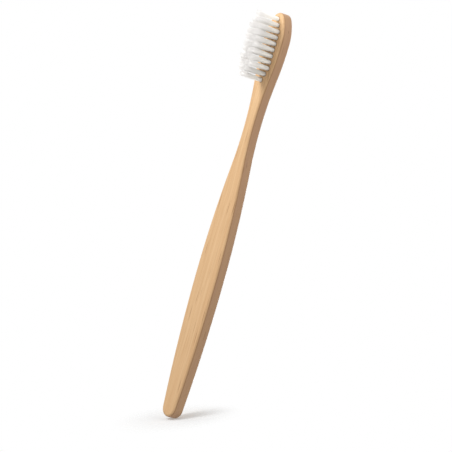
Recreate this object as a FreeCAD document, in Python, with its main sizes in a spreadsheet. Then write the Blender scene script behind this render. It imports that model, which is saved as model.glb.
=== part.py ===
import FreeCAD, Part
import enum
import math
import os

import Sketcher

# A flat bamboo toothbrush with staple-set tufts, lying on its back.
# +X runs from the tail to the head, +Z runs along the bristles, and the origin lies on
# the flat back, half way along the brush. Lengths are in millimetres, angles in degrees.

SIZES = (
    # The handle, cut from a flat slat.
    ("length", 190.0, "tail end to head tip"),
    ("thickness", 5.8, "flat back to flat front"),
    ("edge_radius", 1.2, "rounding of the front and back rims"),
    ("tail_radius", 4.4, "round end of the tail, seen from the front"),
    ("grip_place", 65.0, "tail end to the widest place of the grip"),
    ("grip_width", 14.8, "widest place of the grip"),
    ("neck_setback", 54.3, "head tip to the narrowest place of the neck"),
    ("neck_width", 6.1, "narrowest place of the neck"),
    ("head_setback", 13.0, "head tip to the widest place of the head"),
    ("head_width", 13.1, "widest place of the head"),
    ("tip_radius", 4.0, "round end of the head, seen from the front"),
    ("shoulder_share", 0.753, "way from grip to neck at which the side turns hollow"),
    ("throat_share", 0.576, "way from neck to head at which the side turns full again"),
    # The tuft holes.
    ("row_setback", 3.1, "head tip to the first row of tufts"),
    ("row_pitch", 2.86, "from one row of tufts to the next"),
    ("column_pitch", 2.6, "from one tuft to the next within a row"),
    ("hole_diameter", 1.9, "blind hole of a tuft"),
    ("hole_depth", 3.7, "blind hole of a tuft, below the front"),
    # The tufts, each a bundle of filaments folded in two.
    ("tuft_clearance", 0.02, "between a tuft and the wall and floor of its hole"),
    ("bristle_height", 13.0, "front of the head to the trimmed ends"),
    ("tip_overhang", 0.2, "growth of a tuft's radius from the front to the trimmed ends"),
    ("trim_bevel", 0.25, "bevel round a tuft's trimmed end"),
    # The anchors, flat plates that hold the folds down and bite into the walls of the holes.
    ("anchor_thickness", 0.3, "flat wire that the anchors are cut from"),
    ("anchor_height", 1.4, "flat wire, along the hole"),
    ("anchor_bite", 0.2, "reach of each anchor end into the wall of the hole"),
    ("anchor_seat", 0.6, "floor of the hole to the lower edge of an anchor"),
    ("anchor_angle", 45.0, "turn of the anchors from the line of the grain"),
    ("anchor_clearance", 0.02, "around an anchor, in its tuft and in the handle"),
)

# How the tufts of a row are named, from the left side of the brush to its right side.
MIDDLE = ("middle",)
PAIR = ("left", "right")
TRIPLE = ("left", "middle", "right")

# The rows of tufts, from the head tip towards the neck.
ROWS = (MIDDLE, PAIR, TRIPLE, TRIPLE, TRIPLE, TRIPLE, TRIPLE, TRIPLE, TRIPLE, PAIR, MIDDLE)

# A bundle of filaments is drawn with this many sides, which is round enough at its size.
TUFT_SIDES = 12

# Number by which a sketch knows its first axis, whose start is the origin.
AXIS_NUMBER = -1

Vector = FreeCAD.Vector

doc = FreeCAD.newDocument("toothbrush")
sheet = doc.addObject("Spreadsheet::Sheet", "Sizes")
for line, (alias, value, meaning) in enumerate(SIZES, start=1):
    sheet.set(f"A{line}", meaning)
    sheet.set(f"B{line}", str(value))
    sheet.setAlias(f"B{line}", alias)
doc.recompute()


def size(alias):
    """The value of one named size of the sheet."""
    return float(sheet.get(alias))


class At(enum.IntEnum):
    """Points of a line, arc or circle in a sketch, in the order in which a sketch counts them."""

    START = enum.auto()
    END = enum.auto()
    CENTRE = enum.auto()


class Drawing:
    """A sketch in one plane of a body, with constraints that follow the sheet."""

    def __init__(self, body, name, role):
        self.sketch = body.newObject("Sketcher::SketchObject", name)
        plane = next(p for p in body.Origin.OriginFeatures if p.Role == role)
        self.sketch.AttachmentSupport = [(plane, "")]
        self.sketch.MapMode = "FlatFace"

    def line(self, start, end):
        """Adds a straight line between two points (x, y)."""
        return self.sketch.addGeometry(Part.LineSegment(Vector(*start, 0), Vector(*end, 0)), False)

    def circle(self, centre, radius):
        """Adds a full circle."""
        return self.sketch.addGeometry(Part.Circle(Vector(*centre, 0), Vector(0, 0, 1), radius), False)

    def arc(self, centre, start, end):
        """Adds an arc that runs counterclockwise about centre from start to end."""
        radius = math.dist(centre, start)
        first, last = (math.atan2(y - centre[1], x - centre[0]) for x, y in (start, end))
        if last < first:
            last += math.tau
        circle = Part.Circle(Vector(*centre, 0), Vector(0, 0, 1), radius)
        return self.sketch.addGeometry(Part.ArcOfCircle(circle, first, last), False)

    def rule(self, *terms):
        """Adds a constraint that needs no value."""
        return self.sketch.addConstraint(Sketcher.Constraint(*terms))

    def meet(self, *ends):
        """Joins (geometry, point) pairs two by two."""
        for (first, at), (second, to) in zip(ends[::2], ends[1::2]):
            self.rule("Coincident", first, at, second, to)

    def bind(self, name, expression, value, *terms):
        """Adds a constraint with a value and ties it to an expression on the sheet."""
        number = self.rule(*terms, value)
        self.sketch.renameConstraint(number, name)
        self.sketch.setExpression(f"Constraints.{name}", expression)

    def across(self, name, expression, geometry, point, value):
        """Ties the first coordinate of a point to an expression."""
        self.bind(name, expression, value, "DistanceX", AXIS_NUMBER, At.START, geometry, point)

    def along(self, name, expression, geometry, point, value):
        """Ties the second coordinate of a point to an expression."""
        self.bind(name, expression, value, "DistanceY", AXIS_NUMBER, At.START, geometry, point)

    def radius(self, name, expression, geometry, value):
        """Ties the radius of an arc or circle to an expression."""
        self.bind(name, expression, value, "Radius", geometry)


def toward(start, end, distance):
    """The point that lies a distance from start on the line to end."""
    share = distance / math.dist(start, end)
    return tuple(a + (b - a) * share for a, b in zip(start, end))


def end_sweep(half_width, reach, end_radius):
    """Radius of the arc that is level at half_width and meets an end arc whose centre lies reach away."""
    return (reach**2 + half_width**2 - end_radius**2) / (2 * (half_width - end_radius))


def turn_sweep(run, rise):
    """Sum of the radii of two level arcs, run apart and rise apart, that meet smoothly."""
    return (run**2 + rise**2) / (2 * rise)


def draw_outline(body):
    """The left half of the handle seen from the front: eight arcs that run smoothly into each other."""
    tail, tip = -size("length") / 2, size("length") / 2
    grip = (tail + size("grip_place"), size("grip_width") / 2)
    neck = (tip - size("neck_setback"), size("neck_width") / 2)
    head = (tip - size("head_setback"), size("head_width") / 2)
    tail_centre = (tail + size("tail_radius"), 0)
    tip_centre = (tip - size("tip_radius"), 0)

    # Radii of the sweeps, which the constraints keep when a size changes.
    tail_sweep = end_sweep(grip[1], grip[0] - tail_centre[0], size("tail_radius"))
    tip_sweep = end_sweep(head[1], tip_centre[0] - head[0], size("tip_radius"))
    shoulder = turn_sweep(neck[0] - grip[0], grip[1] - neck[1])
    throat = turn_sweep(head[0] - neck[0], head[1] - neck[1])
    shoulder_full = shoulder * size("shoulder_share")
    throat_hollow = throat * size("throat_share")

    def below(point, radius):
        return (point[0], point[1] - radius)

    grip_centre, head_centre = below(grip, tail_sweep), below(head, tip_sweep)
    full_centre = below(grip, shoulder_full)
    hollow_centre = below(neck, -throat_hollow)
    tail_join = toward(grip_centre, tail_centre, tail_sweep)
    tip_join = toward(head_centre, tip_centre, tip_sweep)
    shoulder_turn = toward(full_centre, below(neck, shoulder_full - shoulder), shoulder_full)
    throat_turn = toward(hollow_centre, below(head, throat - throat_hollow), throat_hollow)

    plan = Drawing(body, "handle_outline", "XY_Plane")
    # Full arcs run from right to left, and hollow ones from left to right.
    full, hollow = {"left": At.END, "right": At.START}, {"left": At.START, "right": At.END}
    chain = (
        (plan.arc(tail_centre, tail_join, (tail, 0)), full),
        (plan.arc(grip_centre, grip, tail_join), full),
        (plan.arc(full_centre, shoulder_turn, grip), full),
        (plan.arc(below(neck, shoulder_full - shoulder), shoulder_turn, neck), hollow),
        (plan.arc(hollow_centre, neck, throat_turn), hollow),
        (plan.arc(below(head, throat - throat_hollow), head, throat_turn), full),
        (plan.arc(head_centre, tip_join, head), full),
        (plan.arc(tip_centre, (tip, 0), tip_join), full),
    )
    for (first, ways), (second, other) in zip(chain, chain[1:]):
        plan.rule("Tangent", first, ways["right"], second, other["left"])
    tail_arc, grip_arc, full_arc, neck_arc, hollow_arc, head_arc, _, tip_arc = (arc for arc, _ in chain)
    middle = plan.line((tip, 0), (tail, 0))
    plan.meet((tip_arc, At.START), (middle, At.START), (middle, At.END), (tail_arc, At.END))
    on_middle = ((tail_arc, At.CENTRE), (tip_arc, At.CENTRE), (middle, At.START), (middle, At.END))
    for geometry, point in on_middle:
        plan.rule("PointOnObject", geometry, point, AXIS_NUMBER)

    plan.across("tail", "-Sizes.length / 2", middle, At.END, tail)
    plan.across("tip", "Sizes.length / 2", middle, At.START, tip)
    plan.radius("tail_radius", "Sizes.tail_radius", tail_arc, size("tail_radius"))
    plan.radius("tip_radius", "Sizes.tip_radius", tip_arc, size("tip_radius"))
    stations = (
        ("grip", "Sizes.grip_place - Sizes.length / 2", grip_arc, At.START, grip),
        ("neck", "Sizes.length / 2 - Sizes.neck_setback", neck_arc, At.END, neck),
        ("head", "Sizes.length / 2 - Sizes.head_setback", head_arc, At.START, head),
    )
    for name, place, arc, point, (x, half_width) in stations:
        plan.across(f"{name}_place", place, arc, point, x)
        plan.across(f"{name}_level", place, arc, At.CENTRE, x)
        plan.along(f"{name}_half_width", f"Sizes.{name}_width / 2", arc, point, half_width)
    turns = (
        ("shoulder", full_arc, At.START, shoulder_turn, stations[0][1], stations[1][1]),
        ("throat", hollow_arc, At.END, throat_turn, stations[1][1], stations[2][1]),
    )
    for name, arc, point, (x, _), start, end in turns:
        expression = f"{start} + Sizes.{name}_share * (({end}) - ({start}))"
        plan.across(f"{name}_turn", expression, arc, point, x)
    return plan.sketch


def rims(shape):
    """Names of the edges where a flat face meets a side wall."""
    found = []
    for number, edge in enumerate(shape.Edges, start=1):
        slopes = {round(abs(face.normalAt(0, 0).z)) for face in shape.ancestorsOfType(edge, Part.Face)}
        if len(slopes) > 1:
            found.append(f"Edge{number}")
    return found


def tuft_places():
    """Yields (name, x expression, y expression) of every tuft, in the frame of the brush."""
    for row, names in enumerate(ROWS):
        x = f"Sizes.length / 2 - Sizes.row_setback - {row} * Sizes.row_pitch"
        for column, side in enumerate(names):
            steps = (len(names) - 1) / 2 - column
            yield f"row_{row + 1:02d}_{side}", x, f"{steps} * Sizes.column_pitch"


def value_of(expression):
    """What an expression on the sheet comes to."""
    return float(sheet.evalExpression(expression))


def build_blank():
    """The handle with its blind tuft holes, before the anchors are driven in."""
    body = doc.addObject("PartDesign::Body", "handle_blank")
    half = body.newObject("PartDesign::Pad", "half_slat")
    half.Profile = draw_outline(body)
    half.setExpression("Length", "Sizes.thickness")
    doc.recompute()
    slat = body.newObject("PartDesign::Mirrored", "slat")
    slat.Originals = [half]
    slat.MirrorPlane = (next(p for p in body.Origin.OriginFeatures if p.Role == "XZ_Plane"), [""])
    body.Tip = slat
    doc.recompute()
    rounded = body.newObject("PartDesign::Fillet", "rounded_rims")
    rounded.Base = (slat, rims(slat.Shape))
    rounded.setExpression("Radius", "Sizes.edge_radius")
    doc.recompute()

    mouths = Drawing(body, "hole_mouths", "XY_Plane")
    mouths.sketch.setExpression("AttachmentOffset.Base.z", "Sizes.thickness")
    for name, x, y in tuft_places():
        spot = value_of(x), value_of(y)
        mouth = mouths.circle(spot, size("hole_diameter") / 2)
        mouths.across(f"{name}_x", x, mouth, At.CENTRE, spot[0])
        mouths.along(f"{name}_y", y, mouth, At.CENTRE, spot[1])
        mouths.bind(f"{name}_bore", "Sizes.hole_diameter", size("hole_diameter"), "Diameter", mouth)
    holes = body.newObject("PartDesign::Pocket", "tuft_holes")
    holes.Profile = mouths.sketch
    holes.setExpression("Length", "Sizes.hole_depth")
    doc.recompute()
    return body


def build_plate(name, x, y, height, clearance):
    """A flat plate across one tuft hole, on its seat, larger all round by a clearance."""
    plate = doc.addObject("Part::Box", name)
    half_length = f"(Sizes.hole_diameter / 2 + Sizes.anchor_bite + {clearance})"
    half_thickness = f"(Sizes.anchor_thickness / 2 + {clearance})"
    plate.Placement.Rotation = FreeCAD.Rotation(Vector(0, 0, 1), size("anchor_angle"))
    turn = "Sizes.anchor_angle"
    bindings = {
        "Length": f"2 * {half_length}",
        "Width": f"2 * {half_thickness}",
        "Height": f"{height} + {clearance}",
        "Placement.Rotation.Angle": turn,
        "Placement.Base.x": f"{x} - {half_length} * cos({turn}) + {half_thickness} * sin({turn})",
        "Placement.Base.y": f"{y} - {half_length} * sin({turn}) - {half_thickness} * cos({turn})",
        "Placement.Base.z": f"Sizes.thickness - Sizes.hole_depth + Sizes.anchor_seat - {clearance}",
    }
    for target, expression in bindings.items():
        plate.setExpression(target, expression)
    return plate


def build_tuft(name, x, y):
    """One tuft: a bundle with a window for its anchor near the fold, which spreads to its trimmed end."""
    floor = "(Sizes.tuft_clearance - Sizes.hole_depth)"
    mouth_radius = "(Sizes.hole_diameter / 2 - Sizes.tuft_clearance)"
    slope = "Sizes.tip_overhang / Sizes.bristle_height"
    sections = []
    for place, height, inset in (
        ("fold", floor, "0"),
        ("flank", "Sizes.bristle_height - Sizes.trim_bevel", "0"),
        ("trim", "Sizes.bristle_height", "Sizes.trim_bevel"),
    ):
        section = doc.addObject("Part::RegularPolygon", f"{name}_{place}")
        section.Polygon = TUFT_SIDES
        section.setExpression("Placement.Base.z", height)
        section.setExpression("Circumradius", f"{mouth_radius} + ({height}) * {slope} - {inset}")
        sections.append(section)
    bundle = doc.addObject("Part::Loft", f"{name}_bundle")
    bundle.Sections = sections
    bundle.Solid = True
    bundle.Ruled = True

    window = doc.addObject("Part::Box", f"{name}_window")
    half_gap = "(Sizes.anchor_thickness / 2 + Sizes.anchor_clearance)"
    bindings = {
        "Length": "2 * Sizes.hole_diameter",
        "Width": f"2 * {half_gap}",
        "Height": "Sizes.anchor_height + 2 * Sizes.anchor_clearance",
        "Placement.Base.x": "-Sizes.hole_diameter",
        "Placement.Base.y": f"-{half_gap}",
        "Placement.Base.z": "Sizes.anchor_seat - Sizes.hole_depth - Sizes.anchor_clearance",
    }
    for target, expression in bindings.items():
        window.setExpression(target, expression)

    tuft = doc.addObject("Part::Cut", name)
    tuft.Base = bundle
    tuft.Tool = window
    tuft.Placement.Rotation = FreeCAD.Rotation(Vector(0, 0, 1), size("anchor_angle"))
    tuft.setExpression("Placement.Rotation.Angle", "Sizes.anchor_angle")
    tuft.setExpression("Placement.Base.x", x)
    tuft.setExpression("Placement.Base.y", y)
    tuft.setExpression("Placement.Base.z", "Sizes.thickness")
    return tuft


def build_brush():
    """The handle, the tufts and the anchors, each an object of its own."""
    blank = build_blank()
    slots, tufts, anchors = [], [], []
    for place, x, y in tuft_places():
        # An anchor scores the wall of its hole from the mouth down to its seat.
        slots.append(build_plate(f"slot_{place}", x, y, "Sizes.hole_depth", "Sizes.anchor_clearance"))
        anchors.append(build_plate(f"anchor_{place}", x, y, "Sizes.anchor_height", "0"))
        tufts.append(build_tuft(f"tuft_{place}", x, y))
    all_slots = doc.addObject("Part::Compound", "anchor_slots")
    all_slots.Links = slots
    handle = doc.addObject("Part::Cut", "handle")
    handle.Base = blank
    handle.Tool = all_slots
    doc.recompute()
    return [handle, *tufts, *anchors]


def check(parts):
    """Stops the build if an object failed or a sub-part is not one sound solid."""
    failed = [item.Label for item in doc.Objects if {"Invalid", "Error"} & set(item.State)]
    unsound = []
    for part in parts:
        shape = part.Shape
        if shape.isNull() or not shape.isValid() or len(shape.Solids) != 1:
            unsound.append(part.Label)
    if failed or unsound:
        raise RuntimeError(f"failed: {failed}, unsound: {unsound}")


brush = build_brush()
check(brush)
os.makedirs("parts", exist_ok=True)
for part in brush:
    part.Shape.exportStep(f"parts/{part.Label}.step")
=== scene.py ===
"""A flat bamboo toothbrush with white nylon tufts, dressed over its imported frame."""

import logging
import math
import random
from collections.abc import Iterable, Mapping, Sequence
from dataclasses import dataclass, field
from enum import Enum
from functools import reduce
from operator import and_
from typing import Any

import bpy
from mathutils import Matrix, Vector


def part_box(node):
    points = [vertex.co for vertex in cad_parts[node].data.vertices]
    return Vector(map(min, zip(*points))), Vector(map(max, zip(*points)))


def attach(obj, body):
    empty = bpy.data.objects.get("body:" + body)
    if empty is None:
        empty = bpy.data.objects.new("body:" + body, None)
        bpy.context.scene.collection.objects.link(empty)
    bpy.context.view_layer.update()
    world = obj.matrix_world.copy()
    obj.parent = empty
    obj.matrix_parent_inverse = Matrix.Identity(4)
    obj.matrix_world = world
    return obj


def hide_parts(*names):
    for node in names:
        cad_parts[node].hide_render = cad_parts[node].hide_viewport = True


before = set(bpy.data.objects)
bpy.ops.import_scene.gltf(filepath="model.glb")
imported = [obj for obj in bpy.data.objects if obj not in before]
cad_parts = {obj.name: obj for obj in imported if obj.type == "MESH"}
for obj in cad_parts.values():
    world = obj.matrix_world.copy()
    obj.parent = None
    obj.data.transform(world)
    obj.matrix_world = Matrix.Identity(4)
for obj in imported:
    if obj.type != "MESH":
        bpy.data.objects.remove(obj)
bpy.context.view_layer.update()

LOG = logging.getLogger("toothbrush")
BODY = "root"
PER_MILLIMETRE = 1000.0
GOLDEN_ANGLE = math.pi * (3.0 - math.sqrt(5.0))

Colour = tuple[float, float, float, float]
Triple = tuple[float, float, float]
Span = tuple[float, float]

WHITE: Colour = (1.0, 1.0, 1.0, 1.0)
NOISE_MIDDLE: Triple = (0.5, 0.5, 0.5)

# The curve of a screen's colours: straight near black, a power above it.
SCREEN_KNEE = 0.04045
SCREEN_SLOPE = 12.92
SCREEN_LIFT = 0.055
SCREEN_POWER = 2.4

# The sockets of a Mix node that mixes colours.
MIX_SHARE = 0
MIX_FIRST = 6
MIX_SECOND = 7
MIX_RESULT = 2


class Family(Enum):
    """The families of pieces, by what their names begin with."""

    HANDLE = "handle"
    TUFT = "tuft_"
    ANCHOR = "anchor_"
    BRISTLES = "bristles_"

    def nodes(self) -> list[str]:
        """Names the frame's nodes of this family, in the order of their rows."""
        return [name for name in sorted(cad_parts) if name.startswith(self.value)]

    def twin(self, name: str, other: "Family") -> str:
        """Names the piece of another family in the same hole."""
        return other.value + name.removeprefix(self.value)


def paint(red: int, green: int, blue: int) -> Colour:
    """Turns a colour as it is seen on screen into the linear one that a shader takes.

    Args:
        red: Red, 0 to 255.
        green: Green, 0 to 255.
        blue: Blue, 0 to 255.

    Returns:
        Linear red, green and blue, and full cover.
    """
    linear = []
    for channel in (red, green, blue):
        share = channel / 255.0
        curved = ((share + SCREEN_LIFT) / (1.0 + SCREEN_LIFT)) ** SCREEN_POWER
        linear.append(share / SCREEN_SLOPE if share <= SCREEN_KNEE else curved)
    return linear[0], linear[1], linear[2], 1.0


class Signal:
    """An output socket that joins in Python arithmetic, one Math node for each step."""

    def __init__(self, graph: "Graph", socket: bpy.types.NodeSocket | None) -> None:
        """Keeps the socket and the graph it is in."""
        self.graph = graph
        self.socket = socket

    def __add__(self, other: "Signal | float") -> "Signal":
        """Adds a signal or number."""
        return self.graph.maths("ADD", self, other)

    __radd__ = __add__

    def __sub__(self, other: "Signal | float") -> "Signal":
        """Takes a signal or number away."""
        return self.graph.maths("SUBTRACT", self, other)

    def __rsub__(self, other: float) -> "Signal":
        """Takes this signal away from a number."""
        return self.graph.maths("SUBTRACT", other, self)

    def __mul__(self, other: "Signal | float") -> "Signal":
        """Multiplies by a signal or number."""
        return self.graph.maths("MULTIPLY", self, other)

    __rmul__ = __mul__

    def __or__(self, other: "Signal | float") -> "Signal":
        """Gives the larger of two values."""
        return self.graph.maths("MAXIMUM", self, other)

    __ror__ = __or__

    def __and__(self, other: "Signal | float") -> "Signal":
        """Gives the smaller of two values."""
        return self.graph.maths("MINIMUM", self, other)

    __rand__ = __and__


class Graph:
    """A node tree that is filled from values, links and expressions."""

    def __init__(self, tree: bpy.types.NodeTree) -> None:
        """Empties the tree and keeps it."""
        self.tree = tree
        tree.nodes.clear()

    def node(
        self,
        kind: str,
        settings: Mapping[str, Any] | None = None,
        sockets: Mapping[str | int, Any] | None = None,
        output: str | int = 0,
    ) -> Signal:
        """Adds a node, sets it and then fills its sockets.

        Args:
            kind: The node's type.
            settings: What is set on the node itself, before its sockets.
            sockets: Values or signals, by the name or number of the socket.
            output: The socket to hand back.

        Returns:
            The chosen output, empty for a node that has none.
        """
        made = self.tree.nodes.new(kind)
        for name, value in (settings or {}).items():
            setattr(made, name, value)
        for key, value in (sockets or {}).items():
            if isinstance(value, Signal):
                self.tree.links.new(value.socket, made.inputs[key])
            else:
                made.inputs[key].default_value = value
        return Signal(self, made.outputs[output] if made.outputs else None)

    def maths(self, operation: str, first: Signal | float, second: Signal | float) -> Signal:
        """Adds a Math node of two values."""
        return self.node("ShaderNodeMath", {"operation": operation}, {0: first, 1: second})

    def vector(self, operation: str, first: Signal, second: Signal | Triple) -> Signal:
        """Adds a Vector Math node of two vectors."""
        return self.node("ShaderNodeVectorMath", {"operation": operation}, {0: first, 1: second})

    def distance(self, place: Signal, point: Vector) -> Signal:
        """Gives how far a place is from a point."""
        sockets = {0: place, 1: point}
        return self.node("ShaderNodeVectorMath", {"operation": "DISTANCE"}, sockets, "Value")

    def mix(self, share: Signal, first: Signal | Colour, second: Signal | Colour) -> Signal:
        """Goes from the first colour to the second as the share goes from 0 to 1."""
        sockets = {MIX_SHARE: share, MIX_FIRST: first, MIX_SECOND: second}
        return self.node("ShaderNodeMix", {"data_type": "RGBA"}, sockets, MIX_RESULT)

    def blend(self, share: Signal | float, first: Signal, second: Signal) -> Signal:
        """Goes from the first shader to the second as the share goes from 0 to 1."""
        return self.node("ShaderNodeMixShader", None, {0: share, 1: first, 2: second})

    def rise(self, value: Signal, low: float, high: float) -> Signal:
        """Goes smoothly from 0 at the low value to 1 at the high one."""
        sockets = {"Value": value, "From Min": low, "From Max": high}
        return self.node("ShaderNodeMapRange", {"interpolation_type": "SMOOTHSTEP"}, sockets)

    def place(self) -> Signal:
        """Gives the place on the object in millimetres."""
        here = self.node("ShaderNodeTexCoord", output="Object")
        return self.vector("MULTIPLY", here, (PER_MILLIMETRE,) * 3)

    def noise(self, place: Signal, waves: Triple, detail: float, output: str = "Fac") -> Signal:
        """Gives soft noise with its own count of waves per millimetre on each axis.

        Args:
            place: The place in millimetres.
            waves: Waves per millimetre along X, Y and Z.
            detail: Finer octaves that are laid over the first.
            output: The value, or a colour of three of them.

        Returns:
            The noise, around one half.
        """
        stretched = self.vector("MULTIPLY", place, waves)
        sockets = {"Vector": stretched, "Scale": 1.0, "Detail": detail}
        return self.node("ShaderNodeTexNoise", None, sockets, output)

    def bump(self, height: Signal, strength: float, depth: float) -> Signal:
        """Turns a height into a surface normal."""
        sockets = {"Height": height, "Strength": strength, "Distance": depth}
        return self.node("ShaderNodeBump", None, sockets)

    def surface(self, shader: Signal) -> None:
        """Makes a shader the surface of the material or the world."""
        world = any(node.type == "BACKGROUND" for node in self.tree.nodes)
        kind = "ShaderNodeOutputWorld" if world else "ShaderNodeOutputMaterial"
        self.node(kind, None, {"Surface": shader})


def new_material(name: str) -> tuple[bpy.types.Material, Graph]:
    """Makes an empty material.

    Args:
        name: The material's name.

    Returns:
        The material and the graph of its nodes.
    """
    material = bpy.data.materials.new(name)
    material.use_nodes = True
    return material, Graph(material.node_tree)


def shown_to_eye(graph: Graph) -> Signal:
    """Gives 1 where a ray shows the background itself and 0 where it only lights.

    Args:
        graph: The graph that asks.

    Returns:
        The largest of the camera, glossy and transmission ray marks.
    """
    marks = [
        graph.node("ShaderNodeLightPath", output=name)
        for name in ("Is Camera Ray", "Is Glossy Ray", "Is Transmission Ray")
    ]
    return marks[0] | marks[1] | marks[2]


def wear(pieces: Iterable[bpy.types.Object], material: bpy.types.Material) -> None:
    """Puts one material on every slot of the pieces.

    Args:
        pieces: The pieces to dress.
        material: What they wear.
    """
    for piece in pieces:
        for slot in piece.material_slots:
            slot.material = material


@dataclass(frozen=True)
class BambooFinish:
    """Sanded bamboo under a thin satin wax, with its fibres along the brush.

    Lengths are in millimetres, apart from the depth of the relief, which is in metres. Waves are
    counted per millimetre along X, Y and Z. A range holds the values between which a tone comes in:
    of a pattern, or of the normal's squared Z for the sides and edges. A share says how much of a
    tone is laid on.
    """

    pale: Colour = paint(248, 207, 158)
    straw: Colour = paint(239, 195, 145)
    fibre: Colour = paint(205, 157, 107)
    strand: Colour = paint(158, 112, 74)
    # Browner tone of the sides: partly the wood's own tone, partly painted shade where the sides turn
    # away from the light.
    sawn: Colour = paint(219, 173, 136)
    # Painted shade: a dark band just past the crease between the front and the sides.
    crease_shade: Colour = paint(180, 128, 84)
    # Painted shade: a dark ring round each tuft hole, where the tufts shade the wood.
    hole_shade: Colour = paint(128, 88, 56)
    hole_radius: float = 0.95
    hole_shade_width: float = 0.6
    hole_shade_share: float = 0.6
    sway_waves: Triple = (0.02, 0.1, 0.1)
    wander: float = 1.6
    band_waves: Triple = (0.008, 0.42, 0.42)
    band_range: Span = (0.32, 0.68)
    fibre_waves: Triple = (0.045, 4.2, 4.2)
    fibre_range: Span = (0.35, 0.75)
    fibre_share: float = 0.45
    strand_waves: Triple = (0.04, 0.8, 0.8)
    strand_range: Span = (0.06, 0.21)
    strand_share: float = 0.6
    strand_dip: float = 0.7
    side_range: Span = (0.02, 0.5)
    sawn_tone_and_shade_share: float = 0.55
    sawn_tone_and_shade_bands: float = 0.4
    crease_shade_start: Span = (0.0, 0.08)
    crease_shade_end: Span = (0.12, 0.45)
    crease_shade_share: float = 0.55
    roughness: float = 0.44
    fibre_roughness: float = 0.14
    rim_polish: float = 0.06
    relief: float = 0.3
    relief_depth: float = 0.00005
    gloss: float = 0.3
    wax: float = 0.06
    wax_roughness: float = 0.38

    def material(self, mouths: Iterable[Vector]) -> bpy.types.Material:
        """Builds the grain, the dark strands, the burnished rims, the sides' tone with painted shade,
        painted shade round the holes and past the crease, and the wax.

        Args:
            mouths: Middles of the mouths of the tuft holes, in metres.

        Returns:
            The material.
        """
        material, graph = new_material("bamboo_satin")
        place = graph.place()
        nearest = reduce(and_, (graph.distance(place, mouth * PER_MILLIMETRE) for mouth in mouths))
        # Painted shade round the mouths of the tuft holes.
        painted_hole_shade = 1.0 - graph.rise(nearest, self.hole_radius, self.hole_radius + self.hole_shade_width)
        sway = graph.noise(place, self.sway_waves, detail=1.0, output="Color")
        sway = graph.vector("SUBTRACT", sway, NOISE_MIDDLE)
        sway = graph.vector("MULTIPLY", sway, (0.0, self.wander, self.wander))
        place = graph.vector("ADD", place, sway)
        bands = graph.rise(graph.noise(place, self.band_waves, detail=3.0), *self.band_range)
        fibres = graph.rise(graph.noise(place, self.fibre_waves, detail=2.0), *self.fibre_range)
        cells = {"Vector": graph.vector("MULTIPLY", place, self.strand_waves), "Scale": 1.0}
        core = graph.node("ShaderNodeTexVoronoi", {"feature": "F1"}, cells, "Distance")
        strands = 1.0 - graph.rise(core, *self.strand_range)
        normal = graph.node("ShaderNodeTexCoord", output="Normal")
        facing = graph.node("ShaderNodeSeparateXYZ", None, {0: normal}, "Z")
        facing = facing * facing
        rims = 4.0 * facing * (1.0 - facing)
        # The sides' tone laid below is partly their own, partly painted shade.
        sides = 1.0 - graph.rise(facing, *self.side_range)
        # Painted shade in a band just past the crease.
        painted_crease_shade = graph.rise(facing, *self.crease_shade_start) * (1.0 - graph.rise(facing, *self.crease_shade_end))
        colour = graph.mix(bands, self.straw, self.pale)
        colour = graph.mix(self.fibre_share * fibres, colour, self.fibre)
        colour = graph.mix((self.sawn_tone_and_shade_share + self.sawn_tone_and_shade_bands * bands) * sides, colour, self.sawn)
        colour = graph.mix(self.crease_shade_share * painted_crease_shade, colour, self.crease_shade)
        colour = graph.mix(self.strand_share * strands, colour, self.strand)
        colour = graph.mix(self.hole_shade_share * painted_hole_shade, colour, self.hole_shade)
        grain = fibres - self.strand_dip * strands
        shader = graph.node(
            "ShaderNodeBsdfPrincipled",
            None,
            {
                "Base Color": colour,
                "Roughness": self.roughness + self.fibre_roughness * fibres - self.rim_polish * rims,
                "Specular IOR Level": self.gloss,
                "Coat Weight": self.wax,
                "Coat Roughness": self.wax_roughness,
                "Normal": graph.bump(grain, self.relief, self.relief_depth),
            },
        )
        graph.surface(shader)
        return material


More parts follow.
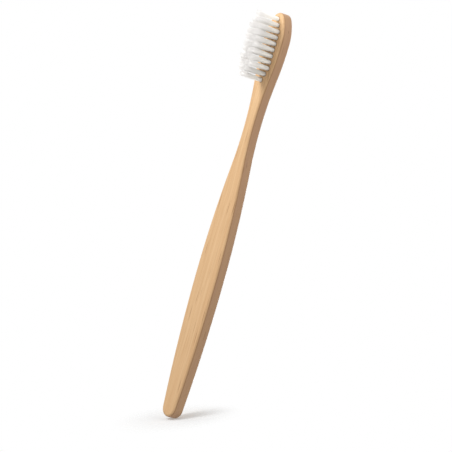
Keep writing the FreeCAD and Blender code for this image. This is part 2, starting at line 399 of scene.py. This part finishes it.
@dataclass(frozen=True)
class NylonFinish:
    """White nylon filament, duller toward the tip that was rounded; the tips' slightly darker colour is
    painted shade.

    Lengths are in millimetres, apart from the depth of the relief, which is in metres. Waves are
    counted per millimetre along X, Y and Z. See-through is the share of the light that leaves on the
    far side of a filament, and lets-by the share of the lamps' light that passes it without a shadow.
    """

    white: Colour = paint(254, 254, 253)
    cream: Colour = paint(254, 252, 249)
    # Painted shade: a slightly darker tip colour that offsets the light falling on the tips.
    painted_tip_shade: Colour = paint(248, 247, 246)
    tip_length: float = 9.0
    tone_share: float = 0.6
    cloud_share: float = 0.4
    cloud_waves: Triple = (3.0, 3.0, 0.25)
    roughness: float = 0.36
    frost_roughness: float = 0.24
    cloud_roughness: float = 0.08
    line_waves: Triple = (14.0, 14.0, 0.6)
    relief: float = 0.15
    relief_depth: float = 0.00001
    see_through: float = 0.92
    lets_by: float = 0.78

    def material(self, tip: float) -> bpy.types.Material:
        """Builds the filament's tone, its rougher rounded tip with painted shade on it, and its fine
        drawing lines.

        Args:
            tip: Height of the trimmed tips, in metres.

        Returns:
            The material.
        """
        material, graph = new_material("nylon_filament")
        place = graph.place()
        tone = graph.node("ShaderNodeAttribute", {"attribute_name": "tone"}, None, "Fac")
        cloud = graph.noise(place, self.cloud_waves, detail=2.0)
        height = graph.node("ShaderNodeSeparateXYZ", None, {0: place}, "Z")
        top = tip * PER_MILLIMETRE
        # Rougher toward the tips, as the rounded tips are; the darker tip colour laid by this mask is
        # painted shade.
        frost_and_tip_shade = graph.rise(height, top - self.tip_length, top)
        warmth = self.tone_share * tone + self.cloud_share * cloud
        colour = graph.mix(warmth, self.white, self.cream)
        colour = graph.mix(frost_and_tip_shade, colour, self.painted_tip_shade)
        roughness = self.roughness + self.frost_roughness * frost_and_tip_shade + self.cloud_roughness * cloud
        lines = graph.noise(place, self.line_waves, detail=1.0)
        skin = graph.node(
            "ShaderNodeBsdfPrincipled",
            None,
            {
                "Base Color": colour,
                "Roughness": roughness,
                "Normal": graph.bump(lines, self.relief, self.relief_depth),
            },
        )
        through = graph.node("ShaderNodeBsdfTranslucent", None, {"Color": colour})
        solid = graph.blend(self.see_through, skin, through)
        clear = graph.node("ShaderNodeBsdfTransparent")
        shade = graph.blend(self.lets_by, solid, clear)
        lamp = graph.node("ShaderNodeLightPath", output="Is Shadow Ray")
        graph.surface(graph.blend(lamp, solid, shade))
        return material


@dataclass(frozen=True)
class WireFinish:
    """Flat drawn brass wire with its drawing lines and a faint tarnish.

    Waves are counted per millimetre along X, Y and Z. The depth of the relief is in metres.
    """

    bright: Colour = paint(221, 190, 120)
    tarnish: Colour = paint(150, 118, 66)
    line_waves: Triple = (1.2, 1.2, 22.0)
    stain_waves: Triple = (1.6, 1.6, 1.6)
    stain_range: Span = (0.45, 0.75)
    roughness: float = 0.26
    line_roughness: float = 0.16
    stain_roughness: float = 0.2
    relief: float = 0.2
    relief_depth: float = 0.00002

    def material(self) -> bpy.types.Material:
        """Builds the drawing lines and the tarnish.

        Returns:
            The material.
        """
        material, graph = new_material("anchor_brass")
        place = graph.place()
        lines = graph.noise(place, self.line_waves, detail=2.0)
        stain = graph.rise(graph.noise(place, self.stain_waves, detail=3.0), *self.stain_range)
        roughness = self.roughness + self.line_roughness * lines + self.stain_roughness * stain
        shader = graph.node(
            "ShaderNodeBsdfPrincipled",
            None,
            {
                "Base Color": graph.mix(stain, self.bright, self.tarnish),
                "Metallic": 1.0,
                "Roughness": roughness,
                "Normal": graph.bump(lines, self.relief, self.relief_depth),
            },
        )
        graph.surface(shader)
        return material


@dataclass(frozen=True)
class FloorFinish:
    """A floor that looks white under its lamp, keeps its shadows and fades into the white beyond.

    The glow is shown to the eye alone. Lets-by is the share of the light behind the floor that still
    reaches the brush through it. The fade starts at a share of the floor's reach.
    """

    grey: Colour = (0.55, 0.55, 0.55, 1.0)
    glow: float = 0.26
    lets_by: float = 0.7
    fade_start: float = 0.2

    def material(self, reach: float) -> bpy.types.Material:
        """Builds the floor's white, its clear underside and its fading rim.

        Args:
            reach: Radius of the floor, in metres.

        Returns:
            The material.
        """
        material, graph = new_material("studio_floor")
        here = graph.node("ShaderNodeTexCoord", output="Object")
        away = graph.node("ShaderNodeVectorMath", {"operation": "LENGTH"}, {0: here}, "Value")
        behind = graph.node("ShaderNodeNewGeometry", output="Backfacing")
        lit = graph.node("ShaderNodeBsdfDiffuse", None, {"Color": self.grey})
        shine = graph.node("ShaderNodeEmission", None, {"Color": WHITE, "Strength": self.glow})
        both = graph.node("ShaderNodeAddShader", None, {0: lit, 1: shine})
        shown = shown_to_eye(graph)
        seen = graph.blend(shown, lit, both)
        clear = graph.node("ShaderNodeBsdfTransparent")
        faded = graph.rise(away, self.fade_start * reach, reach)
        gone = faded | behind | self.lets_by * (1.0 - shown)
        graph.surface(graph.blend(gone, seen, clear))
        return material


@dataclass
class Handle:
    """The flat bamboo slat: grip, waisted neck and oval head in one piece."""

    finish: BambooFinish = field(default_factory=BambooFinish)

    def build(self) -> list[bpy.types.Object]:
        """Takes the slat from the frame."""
        return [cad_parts[name] for name in Family.HANDLE.nodes()]

    def dress(self, pieces: Iterable[bpy.types.Object]) -> None:
        """Gives the slat its bamboo."""
        wear(pieces, self.finish.material(self.mouths()))

    def mouths(self) -> list[Vector]:
        """Finds the mouths of the tuft holes on the front of the head.

        Returns:
            The middle of every mouth, in metres.
        """
        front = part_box(Family.HANDLE.value)[1].z
        boxes = [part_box(name) for name in Family.TUFT.nodes()]
        return [Vector(((low.x + high.x) / 2, (low.y + high.y) / 2, front)) for low, high in boxes]


@dataclass
class Anchors:
    """The flat wire plates that hold the tufts down in their holes."""

    finish: WireFinish = field(default_factory=WireFinish)

    def build(self) -> list[bpy.types.Object]:
        """Takes the plates from the frame."""
        return [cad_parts[name] for name in Family.ANCHOR.nodes()]

    def dress(self, pieces: Iterable[bpy.types.Object]) -> None:
        """Gives every plate its brass."""
        wear(pieces, self.finish.material())


@dataclass
class Bundle:
    """What one tuft has to fit: its axis, its hole, its plate and its trimmed top."""

    axis: Vector
    floor: float
    mouth: float
    top: float
    mouth_radius: float
    tip_radius: float
    plate_along: Vector
    plate_across: Vector
    plate_half: float
    plate_bottom: float
    plate_top: float


@dataclass
class Strand:
    """A tube under way: its points, its radii and its tone."""

    points: list[Vector]
    radii: list[float]
    tone: float


@dataclass
class TuftField:
    """All tufts of the head, each a bundle of hairpin filaments folded under its plate.

    Lengths are in metres.

    Attributes:
        filament_radius: Radius of a filament.
        hairpins: Filaments of a tuft, each of which shows two ends.
        sides: Corners of a filament's section.
        trim_spread: How much lower than the trimmed top a tip may end.
        tip_stray: How far a tip usually strays.
        tuft_lean: How far a tuft usually leans.
        loose_share: Share of the ends that are loose.
        loose_stray: How far a loose end usually strays.
        outward: Power that spreads the filaments over the hole; under a half crowds them at its wall.
        tip_spread: Radius over which the tips spread, as a multiple of the plain tuft's.
        flare_bend: Power at which a tuft widens from its root to its tips.
        fold_bend: Radius of a fold, as a share of the filament's distance from the plate's middle.
        fold_angles: Turns of the points that round a fold, in degrees.
        tip_rings: How far below the tip each ring lies, and its radius, both in radii of the filament.
        leg_shares: Shares of the free length at which the rings below the tip lie.
        same_spot: Share of the plate's diagonal within which two of its corners count as one.
        root_shading: How far the normals are those of the whole tuft, at its root.
        tip_shading: The same, at its tips.
        crown: How strongly the normals of the whole tuft turn to its trimmed top.
        crown_bend: Power at which they do so.
        finish: What the filaments are made of.
    """

    filament_radius: float = 0.0001
    hairpins: int = 22
    sides: int = 6
    trim_spread: float = 0.0001
    tip_stray: float = 0.00009
    tuft_lean: float = 0.00014
    loose_share: float = 0.06
    loose_stray: float = 0.0003
    outward: float = 0.39
    tip_spread: float = 1.25
    flare_bend: float = 0.75
    fold_bend: float = 0.7
    fold_angles: Triple = (30.0, 60.0, 90.0)
    tip_rings: tuple[Span, ...] = ((0.0, 0.08), (0.13, 0.5), (0.5, 0.87), (1.0, 1.0))
    leg_shares: tuple[float, ...] = (0.75, 0.5, 0.25, 0.0)
    same_spot: float = 0.02
    root_shading: float = 0.25
    tip_shading: float = 0.5
    crown: float = 2.2
    crown_bend: float = 3.0
    finish: NylonFinish = field(default_factory=NylonFinish)

    def build(self) -> list[bpy.types.Object]:
        """Makes one piece of filaments for every tuft of the frame.

        Returns:
            The pieces, in the order of their rows.
        """
        return [self._tuft(name) for name in Family.TUFT.nodes()]

    def dress(self, pieces: Sequence[bpy.types.Object]) -> None:
        """Gives all filaments their nylon.

        Args:
            pieces: The pieces of filaments.
        """
        top = max(corner[2] for piece in pieces for corner in piece.bound_box)
        material = self.finish.material(top)
        for piece in pieces:
            piece.data.materials.append(material)

    def _bundle(self, name: str) -> Bundle:
        """Reads from the frame what the tuft of that name has to fit.

        Args:
            name: The tuft's node.

        Returns:
            Its axis, heights, radii and plate.
        """
        low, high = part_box(name)
        axis = Vector(((low.x + high.x) / 2, (low.y + high.y) / 2, 0.0))
        anchor = Family.TUFT.twin(name, Family.ANCHOR)
        plate_low, plate_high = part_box(anchor)
        corners = [self._flat(vertex.co - axis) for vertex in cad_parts[anchor].data.vertices]
        spans = [first - second for first in corners for second in corners]
        least = self.same_spot * max(span.length for span in spans)
        side = min((span for span in spans if span.length > least), key=lambda span: span.length)
        across = side.normalized()
        middle = (low.z + high.z) / 2
        shape = [vertex.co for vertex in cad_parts[name].data.vertices]
        return Bundle(
            axis=axis,
            floor=low.z,
            mouth=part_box(Family.HANDLE.value)[1].z,
            top=high.z,
            mouth_radius=max(self._flat(point - axis).length for point in shape if point.z < middle),
            tip_radius=max(self._flat(point - axis).length for point in shape if point.z > middle),
            plate_along=Vector((-across.y, across.x, 0.0)),
            plate_across=across,
            plate_half=side.length / 2,
            plate_bottom=plate_low.z,
            plate_top=plate_high.z,
        )

    @staticmethod
    def _flat(point: Vector) -> Vector:
        """Drops the height of a point."""
        return Vector((point.x, point.y, 0.0))

    def _tuft(self, name: str) -> bpy.types.Object:
        """Makes one tuft's piece.

        Args:
            name: The node that the piece stands for.

        Returns:
            The piece, riding on the brush.
        """
        bundle = self._bundle(name)
        chance = random.Random(name)
        lean = Vector((chance.gauss(0.0, self.tuft_lean), chance.gauss(0.0, self.tuft_lean), 0.0))
        room = bundle.mouth_radius - self.filament_radius
        ends = 2 * self.hairpins
        strands = []
        for index in range(ends):
            reach = room * ((index + 0.5) / ends) ** self.outward
            turn = index * GOLDEN_ANGLE
            along, across = reach * math.cos(turn), reach * math.sin(turn)
            if across > 0:
                strands.append(self._hairpin(bundle, along, across, lean, chance))
        piece = self._mesh(Family.TUFT.twin(name, Family.BRISTLES), strands, bundle)
        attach(piece, BODY)
        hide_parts(name)
        return piece

    def _hairpin(
        self, bundle: Bundle, along: float, across: float, lean: Vector, chance: random.Random
    ) -> Strand:
        """Lays one filament down one side of the plate, under it and up the other side.

        Args:
            bundle: What the tuft has to fit.
            along: Place in the mouth of the hole along the plate.
            across: Place in the mouth of the hole away from the plate.
            lean: How far the tips of this tuft lean.
            chance: The tuft's own run of chance.

        Returns:
            The filament's line, radii and tone.
        """
        radius = self.filament_radius
        room = bundle.mouth_radius - radius
        clear = bundle.plate_half + radius
        off = clear + across * (room - clear) / room
        room_below = math.sqrt(max(room**2 - off**2, 0.0))
        room_above = math.sqrt(max(room**2 - across**2, radius**2))
        held = along * room_below / room_above
        depth = bundle.plate_bottom - bundle.floor - 2 * radius
        fold = bundle.floor + radius + depth * (1.0 - off / room)
        bend = min(self.fold_bend * off, bundle.plate_bottom - fold + radius)
        legs = []
        for side in (1.0, -1.0):
            points, radii = self._leg(bundle, along, side * across, lean, chance)
            for height in (bundle.plate_top, fold + bend):
                points.append(self._spot(bundle, held, side * off, height))
                radii.append(radius)
            for angle in self.fold_angles:
                inward = bend * (1.0 - math.cos(math.radians(angle)))
                drop = bend * (1.0 - math.sin(math.radians(angle)))
                points.append(self._spot(bundle, held, side * (off - inward), fold + drop))
                radii.append(radius)
            legs.append((points, radii))
        (down, down_radii), (up, up_radii) = legs
        return Strand(down + up[::-1], down_radii + up_radii[::-1], chance.random())

    def _leg(
        self, bundle: Bundle, along: float, across: float, lean: Vector, chance: random.Random
    ) -> tuple[list[Vector], list[float]]:
        """Lays the free length of a filament from its rounded tip to the mouth of the hole.

        Args:
            bundle: What the tuft has to fit.
            along: Place in the mouth along the plate.
            across: Place in the mouth across the plate.
            lean: How far the tips of this tuft lean.
            chance: The tuft's own run of chance.

        Returns:
            Points and radii, the tip first.
        """
        radius = self.filament_radius
        stray = self.loose_stray if chance.random() < self.loose_share else self.tip_stray
        foot = self._spot(bundle, along, across, bundle.mouth)
        flare = (self.tip_spread * bundle.tip_radius - radius) / (bundle.mouth_radius - radius) - 1.0
        swing = flare * self._flat(foot - bundle.axis) + lean
        swing += Vector((chance.gauss(0.0, stray), chance.gauss(0.0, stray), 0.0))
        tip = bundle.top - chance.uniform(0.0, self.trim_spread)
        free = tip - bundle.mouth
        rings = [(1.0 - below * radius / free, radius * girth) for below, girth in self.tip_rings]
        rings.extend((share, radius) for share in self.leg_shares)
        points, radii = [], []
        for share, girth in rings:
            points.append(foot + swing * share**self.flare_bend + Vector((0.0, 0.0, free * share)))
            radii.append(girth)
        return points, radii

    @staticmethod
    def _spot(bundle: Bundle, along: float, across: float, height: float) -> Vector:
        """Gives a point of the tuft by its place along and across the plate and its height."""
        spot = bundle.axis + along * bundle.plate_along + across * bundle.plate_across
        return spot + Vector((0.0, 0.0, height))

    def _mesh(self, name: str, strands: Sequence[Strand], bundle: Bundle) -> bpy.types.Object:
        """Sweeps every strand into a tube and joins the tubes in one object.

        Args:
            name: The object's name.
            strands: The lines to follow.
            bundle: What the tuft has to fit.

        Returns:
            The object, linked into the scene.
        """
        points: list[Vector] = []
        faces: list[tuple[int, ...]] = []
        tones: list[float] = []
        for strand in strands:
            first = len(points)
            points.extend(self._rings(strand))
            tones.extend([strand.tone] * (len(points) - first))
            faces.extend(self._skin(first, len(strand.points)))
        mesh = bpy.data.meshes.new(name)
        mesh.from_pydata(points, [], faces)
        mesh.attributes.new("tone", "FLOAT", "POINT").data.foreach_set("value", tones)
        mesh.shade_smooth()
        mesh.normals_split_custom_set_from_vertices(self._eased(mesh, bundle))
        piece = bpy.data.objects.new(name, mesh)
        bpy.context.scene.collection.objects.link(piece)
        return piece

    def _eased(self, mesh: bpy.types.Mesh, bundle: Bundle) -> list[Vector]:
        """Eases the filaments' normals toward those of the whole tuft, which then shades as one body.

        Args:
            mesh: The filaments of one tuft.
            bundle: What the tuft has to fit.

        Returns:
            A normal for every point.
        """
        eased: list[Vector] = []
        for vertex in mesh.vertices:
            share = max(vertex.co.z - bundle.mouth, 0.0) / (bundle.top - bundle.mouth)
            body = self._flat(vertex.co - bundle.axis) / bundle.mouth_radius
            body.z = self.crown * share**self.crown_bend
            ease = self.root_shading + (self.tip_shading - self.root_shading) * share
            eased.append(vertex.normal.lerp(body.normalized(), ease).normalized())
        return eased

    def _rings(self, strand: Strand) -> list[Vector]:
        """Sets a ring of points round every point of a strand, turned along with it.

        Args:
            strand: The line to follow.

        Returns:
            The points, ring after ring.
        """
        line = strand.points
        made: list[Vector] = []
        heading = (line[1] - line[0]).normalized()
        side = heading.orthogonal().normalized()
        for index, centre in enumerate(line):
            ahead = line[min(index + 1, len(line) - 1)] - line[max(index - 1, 0)]
            ahead.normalize()
            side = heading.rotation_difference(ahead) @ side
            heading = ahead
            other = heading.cross(side)
            for step in range(self.sides):
                angle = 2.0 * math.pi * step / self.sides
                outward = math.cos(angle) * side + math.sin(angle) * other
                made.append(centre + strand.radii[index] * outward)
        return made

    def _skin(self, first: int, rings: int) -> list[tuple[int, ...]]:
        """Joins the rings of one tube with faces and closes its ends.

        Args:
            first: Number of the tube's first point.
            rings: How many rings it has.

        Returns:
            The faces, as numbers of points.
        """
        faces: list[tuple[int, ...]] = []
        for ring in range(rings - 1):
            here = first + ring * self.sides
            there = here + self.sides
            for step in range(self.sides):
                after = (step + 1) % self.sides
                faces.append((here + step, here + after, there + after, there + step))
        last = first + (rings - 1) * self.sides
        faces.append(tuple(first + step for step in reversed(range(self.sides))))
        faces.append(tuple(last + step for step in range(self.sides)))
        return faces


@dataclass(frozen=True)
class SoftBox:
    """A square studio lamp, placed as the camera sees it.

    Attributes:
        name: The lamp's name.
        right: How far to the right it stands, as a share of its way.
        up: How far up.
        toward: How far toward the camera.
        distance: Metres from what it lights.
        width: Side of the lamp, in metres.
        level: Share of its colour that a facing surface shows.
    """

    name: str
    right: float
    up: float
    toward: float
    distance: float
    width: float
    level: float

    @property
    def power(self) -> float:
        """Power at which a facing surface shows that share of its colour."""
        return self.level * (math.pi * self.distance) ** 2


@dataclass
class Studio:
    """Floor, soft light and the camera of the photograph, told in the brush's frame.

    Attributes:
        turn: How far the front of the brush is turned from the camera, in radians.
        lean: How far the brush leans to the right, in radians.
        distance: Metres from the brush to the camera, far enough to show it without perspective.
        image_side: Side of the photograph, in pixels.
        pixels_per_metre: Scale of the photograph at the brush.
        middle_pixel: Where the middle of the handle lies in the photograph.
        sensor: Side of the camera's sensor, in millimetres.
        ambient: Strength of the light that the world gives.
        floor_tilt: How far the floor tips toward the camera, in radians.
        floor_roll: How far it tips to the left, in radians.
        floor_reach: Radius of the floor, in metres.
        floor_corners: Corners of its round rim.
        lamps: The lamps that light the brush.
        floor_lamp: The lamp that lights the floor alone.
        floor_finish: What the floor is made of.
    """

    turn: float = math.radians(48.0)
    lean: float = math.radians(15.77)
    distance: float = 2.0
    image_side: float = 452.0
    pixels_per_metre: float = 2207.0
    middle_pixel: tuple[float, float] = (227.37, 215.65)
    sensor: float = 36.0
    ambient: float = 0.37
    floor_tilt: float = math.radians(9.0)
    floor_roll: float = math.radians(6.0)
    floor_reach: float = 0.032
    floor_corners: int = 96
    lamps: tuple[SoftBox, ...] = (
        SoftBox("key_light", right=-0.64, up=0.738, toward=0.322, distance=0.5, width=0.18, level=0.652),
        SoftBox("side_light", right=0.66, up=0.8, toward=0.43, distance=0.4, width=0.24, level=0.22),
        SoftBox("back_light", right=0.35, up=-0.1, toward=-0.93, distance=0.9, width=0.6, level=0.4),
    )
    floor_lamp: SoftBox = SoftBox(
        "floor_light", right=-0.5, up=0.86, toward=0.1, distance=0.12, width=0.22, level=0.6
    )
    floor_finish: FloorFinish = field(default_factory=FloorFinish)

    def basis(self) -> tuple[Vector, Vector, Vector]:
        """Works out the directions of the photograph.

        Returns:
            Right, up and toward the eye.
        """
        across = Vector((0.0, -math.cos(self.turn), -math.sin(self.turn)))
        toward = Vector((0.0, -math.sin(self.turn), math.cos(self.turn)))
        length = Vector((1.0, 0.0, 0.0))
        right = math.sin(self.lean) * length + math.cos(self.lean) * across
        up = math.cos(self.lean) * length - math.sin(self.lean) * across
        return right, up, toward

    def build(self) -> None:
        """Sets up the colour of the picture, the world, lamps, floor and camera."""
        bpy.context.scene.view_settings.view_transform = "Standard"
        low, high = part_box(Family.HANDLE.value)
        middle = (low + high) / 2
        self._world()
        for lamp in self.lamps:
            self._lamp(lamp, middle)
        self._floor()
        self._camera(middle)

    def _world(self) -> None:
        """Makes a world that looks white and lights softly."""
        world = bpy.data.worlds.new("white_studio")
        world.use_nodes = True
        graph = Graph(world.node_tree)
        soft = graph.node("ShaderNodeBackground", None, {"Color": WHITE, "Strength": self.ambient})
        plain = graph.node("ShaderNodeBackground", None, {"Color": WHITE, "Strength": 1.0})
        shown = shown_to_eye(graph)
        graph.surface(graph.blend(shown, soft, plain))
        bpy.context.scene.world = world

    def _lamp(self, lamp: SoftBox, target: Vector) -> bpy.types.Object:
        """Hangs a lamp and turns it to what it lights.

        Args:
            lamp: The lamp's place, size and level.
            target: The point it faces.

        Returns:
            The lamp.
        """
        right, up, toward = self.basis()
        way = (lamp.right * right + lamp.up * up + lamp.toward * toward).normalized()
        light = bpy.data.lights.new(lamp.name, "AREA")
        light.shape = "SQUARE"
        light.size = lamp.width
        light.energy = lamp.power
        holder = bpy.data.objects.new(lamp.name, light)
        holder.location = target + lamp.distance * way
        holder.rotation_mode = "QUATERNION"
        holder.rotation_quaternion = way.to_track_quat("Z", "Y")
        bpy.context.scene.collection.objects.link(holder)
        return holder

    def _floor(self) -> None:
        """Lays a round floor under the tail, on which the brush stands, with a lamp of its own."""
        right, up, toward = self.basis()
        rise = up + math.tan(self.floor_tilt) * toward - math.tan(self.floor_roll) * right
        rise.normalize()
        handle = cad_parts[Family.HANDLE.value]
        foot = min((vertex.co for vertex in handle.data.vertices), key=rise.dot)
        turns = [2.0 * math.pi * step / self.floor_corners for step in range(self.floor_corners)]
        reach = self.floor_reach
        rim = [(reach * math.cos(angle), reach * math.sin(angle), 0.0) for angle in turns]
        mesh = bpy.data.meshes.new("floor")
        mesh.from_pydata(rim, [], [tuple(range(self.floor_corners))])
        mesh.materials.append(self.floor_finish.material(reach))
        floor = bpy.data.objects.new("floor", mesh)
        floor.location = foot
        floor.rotation_mode = "QUATERNION"
        floor.rotation_quaternion = rise.to_track_quat("Z", "Y")
        bpy.context.scene.collection.objects.link(floor)
        lit = bpy.data.collections.new("lit_floor")
        lit.objects.link(floor)
        self._lamp(self.floor_lamp, foot).light_linking.receiver_collection = lit

    def _camera(self, middle: Vector) -> None:
        """Puts the camera where the photograph was taken from.

        Args:
            middle: Middle of the handle.
        """
        right, up, toward = self.basis()
        half = self.image_side / 2
        across, down = self.middle_pixel
        shift = (half - across) / self.pixels_per_metre * right
        drop = (half - down) / self.pixels_per_metre * up
        aim = middle + shift - drop
        data = bpy.data.cameras.new("photo_camera")
        data.sensor_width = self.sensor
        data.lens = self.sensor * self.distance * self.pixels_per_metre / self.image_side
        camera = bpy.data.objects.new("photo_camera", data)
        turned = Matrix((right, up, toward)).transposed().to_4x4()
        camera.matrix_world = Matrix.Translation(aim + self.distance * toward) @ turned
        bpy.context.scene.collection.objects.link(camera)
        bpy.context.scene.camera = camera


def main() -> None:
    """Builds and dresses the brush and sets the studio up."""
    logging.basicConfig(level=logging.INFO, format="%(name)s: %(message)s")
    for assembly in (Handle(), Anchors(), TuftField()):
        pieces = assembly.build()
        assembly.dress(pieces)
        for piece in pieces:
            LOG.info("%s: %d faces", piece.name, len(piece.data.polygons))
    Studio().build()


if __name__ == "__main__":
    main()
